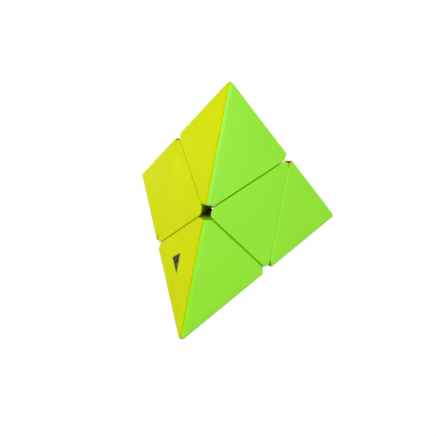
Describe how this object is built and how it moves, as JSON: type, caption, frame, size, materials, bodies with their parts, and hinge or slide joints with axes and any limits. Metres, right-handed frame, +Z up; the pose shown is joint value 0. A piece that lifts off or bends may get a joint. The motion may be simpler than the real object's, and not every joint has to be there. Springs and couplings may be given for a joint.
{
  "type": "pyramid twisty puzzle",
  "caption": "Tetrahedral twisty puzzle whose tips and face centres turn in halves about axes through the middles of its edges.",
  "frame": {"origin": "centre of the blue face that the pyramid rests on", "axes": "+Z up through the apex, -Y towards the edge between the yellow and the green face, +X towards the tip on the right of that edge"},
  "size_m": [0.0748, 0.065, 0.0613],
  "materials": {
    "yellow_plastic": "satin, moulded in colour",
    "green_plastic": "satin, moulded in colour",
    "red_plastic": "satin, moulded in colour",
    "blue_plastic": "satin, moulded in colour",
    "carrier_plastic": "matte moulded nylon",
    "mechanism_plastic": "matte moulded nylon",
    "steel": "bright zinc plate"
  },
  "bodies": {
    "rear_half": {"base_back_block": "mechanism_plastic", "base_left_block": "mechanism_plastic", "base_right_block": "mechanism_plastic", "blue_centre_carrier": "carrier_plastic", "blue_centre_shell": "blue_plastic", "core": "mechanism_plastic", "front_screw": "steel", "inner_edge_base_back_base_left": "mechanism_plastic", "inner_edge_base_back_base_right": "mechanism_plastic", "inner_edge_base_left_base_right": "mechanism_plastic", "inner_edge_left_base_back": "mechanism_plastic", "inner_edge_left_base_left": "mechanism_plastic", "inner_edge_right_base_back": "mechanism_plastic", "inner_edge_right_base_right": "mechanism_plastic", "inner_edge_right_left": "mechanism_plastic", "left_screw": "steel", "left_tip_blue_shell": "blue_plastic", "left_tip_carrier": "carrier_plastic", "left_tip_red_shell": "red_plastic", "left_tip_yellow_shell": "yellow_plastic", "red_centre_carrier": "carrier_plastic", "red_centre_shell": "red_plastic", "right_screw": "steel", "right_tip_blue_shell": "blue_plastic", "right_tip_carrier": "carrier_plastic", "right_tip_green_shell": "green_plastic", "right_tip_red_shell": "red_plastic"},
    "front_half": {"top_tip_carrier": "carrier_plastic", "top_tip_yellow_shell": "yellow_plastic", "top_tip_green_shell": "green_plastic", "top_tip_red_shell": "red_plastic", "front_tip_carrier": "carrier_plastic", "front_tip_yellow_shell": "yellow_plastic", "front_tip_green_shell": "green_plastic", "front_tip_blue_shell": "blue_plastic", "yellow_centre_carrier": "carrier_plastic", "yellow_centre_shell": "yellow_plastic", "green_centre_carrier": "carrier_plastic", "green_centre_shell": "green_plastic", "front_block": "mechanism_plastic", "front_spring": "steel", "front_washer": "steel", "inner_edge_front_right": "mechanism_plastic", "inner_edge_front_left": "mechanism_plastic", "inner_edge_front_base_left": "mechanism_plastic", "inner_edge_front_base_right": "mechanism_plastic"},
    "right_turning_block": {"right_block": "mechanism_plastic", "right_spring": "steel", "right_washer": "steel"},
    "left_turning_block": {"left_block": "mechanism_plastic", "left_spring": "steel", "left_washer": "steel"}
  },
  "joints": [
    {"name": "front_half_twist", "type": "hinge", "parent": "rear_half", "child": "front_half", "pos_m": [0, 0, 0.01592], "axis": [0, -0.8165, 0.5774], "continuous": true},
    {"name": "right_block_spin", "type": "hinge", "parent": "rear_half", "child": "right_turning_block", "pos_m": [0, 0, 0.01592], "axis": [0.7071, 0.4082, 0.5774], "continuous": true},
    {"name": "left_block_spin", "type": "hinge", "parent": "rear_half", "child": "left_turning_block", "pos_m": [0, 0, 0.01592], "axis": [-0.7071, 0.4082, 0.5774], "continuous": true}
  ]
}
